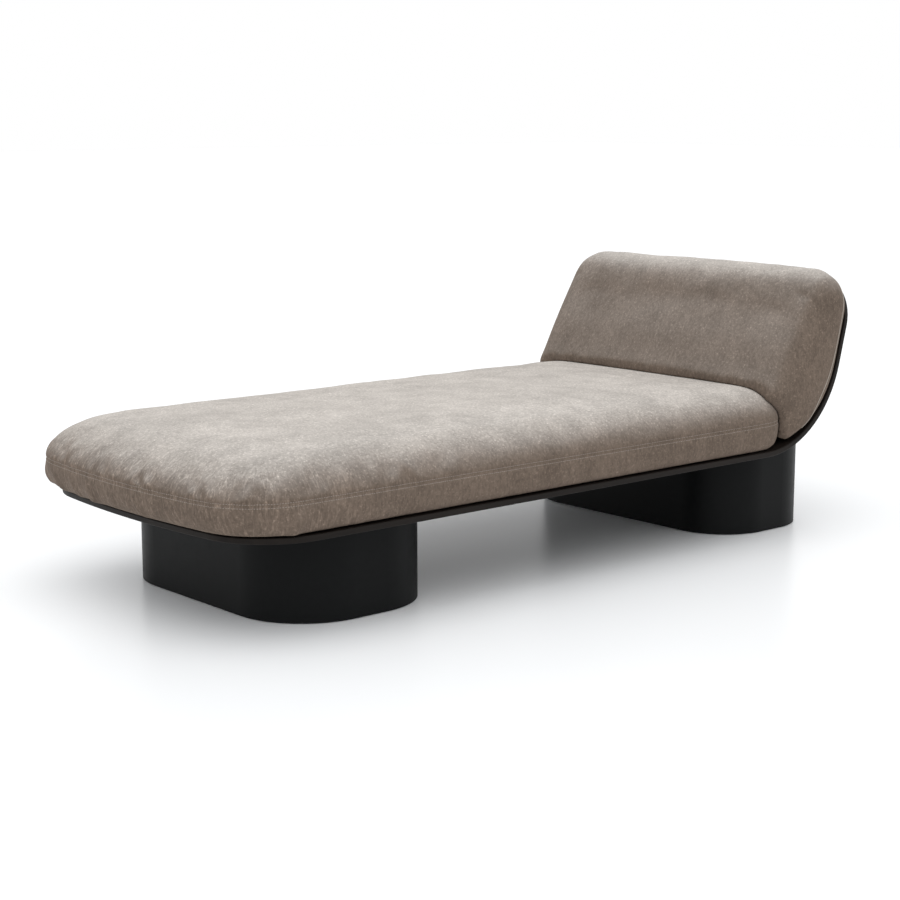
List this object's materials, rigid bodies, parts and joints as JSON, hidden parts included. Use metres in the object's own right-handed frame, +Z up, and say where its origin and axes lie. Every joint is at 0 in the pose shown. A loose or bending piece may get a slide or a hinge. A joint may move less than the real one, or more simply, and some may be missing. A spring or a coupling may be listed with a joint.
{
  "type": "chaise longue",
  "caption": "Upholstered chaise longue: a long loose seat cushion and a thick leaning back pillow on a bent shell carried by oval drum pedestals.",
  "frame": {"origin": "on the floor under the middle of the overall box", "axes": "+X along the length towards the back, +Y across, +Z up"},
  "size_m": [2.0093, 0.931, 0.6895],
  "materials": {
    "cover_fabric": "taupe chenille weave",
    "foam": "open-cell seating foam",
    "shell_stain": "dark stained plywood, satin lacquer",
    "board": "bare plywood",
    "pedestal_lacquer": "satin black lacquer",
    "zinc": "zinc plated steel",
    "felt": "pressed felt",
    "nylon": "black nylon"
  },
  "bodies": {
    "frame": {"shell": "shell_stain", "shell_stiffener_bars": "zinc", "foot_pedestal_casing": "pedestal_lacquer", "foot_top_plate": "board", "foot_long_ribs": "board", "foot_cross_rib": "board", "foot_glide_blocks": "board", "foot_glides": "felt", "foot_coach_screws": "zinc", "head_pedestal_casing": "pedestal_lacquer", "head_top_plate": "board", "head_long_ribs": "board", "head_cross_rib": "board", "head_glide_blocks": "board", "head_glides": "felt", "head_coach_screws": "zinc", "head_saddle": "board", "shell_hook_strips": "nylon", "back_cover": "cover_fabric", "back_cover_rear": "cover_fabric", "back_foam_core": "foam", "back_board": "board", "back_clips": "nylon"},
    "seat_cushion": {"seat_cover_top": "cover_fabric", "seat_cover_border": "cover_fabric", "seat_cover_base": "cover_fabric", "seat_foam_topper": "foam", "seat_foam_core": "foam", "seat_base_board": "board", "seat_loop_strips": "nylon"}
  },
  "joints": [
    {"name": "seat_cushion_slide", "type": "slide", "parent": "frame", "child": "seat_cushion", "axis": [-1, 0, 0], "range_m": [0, 0.3]}
  ]
}
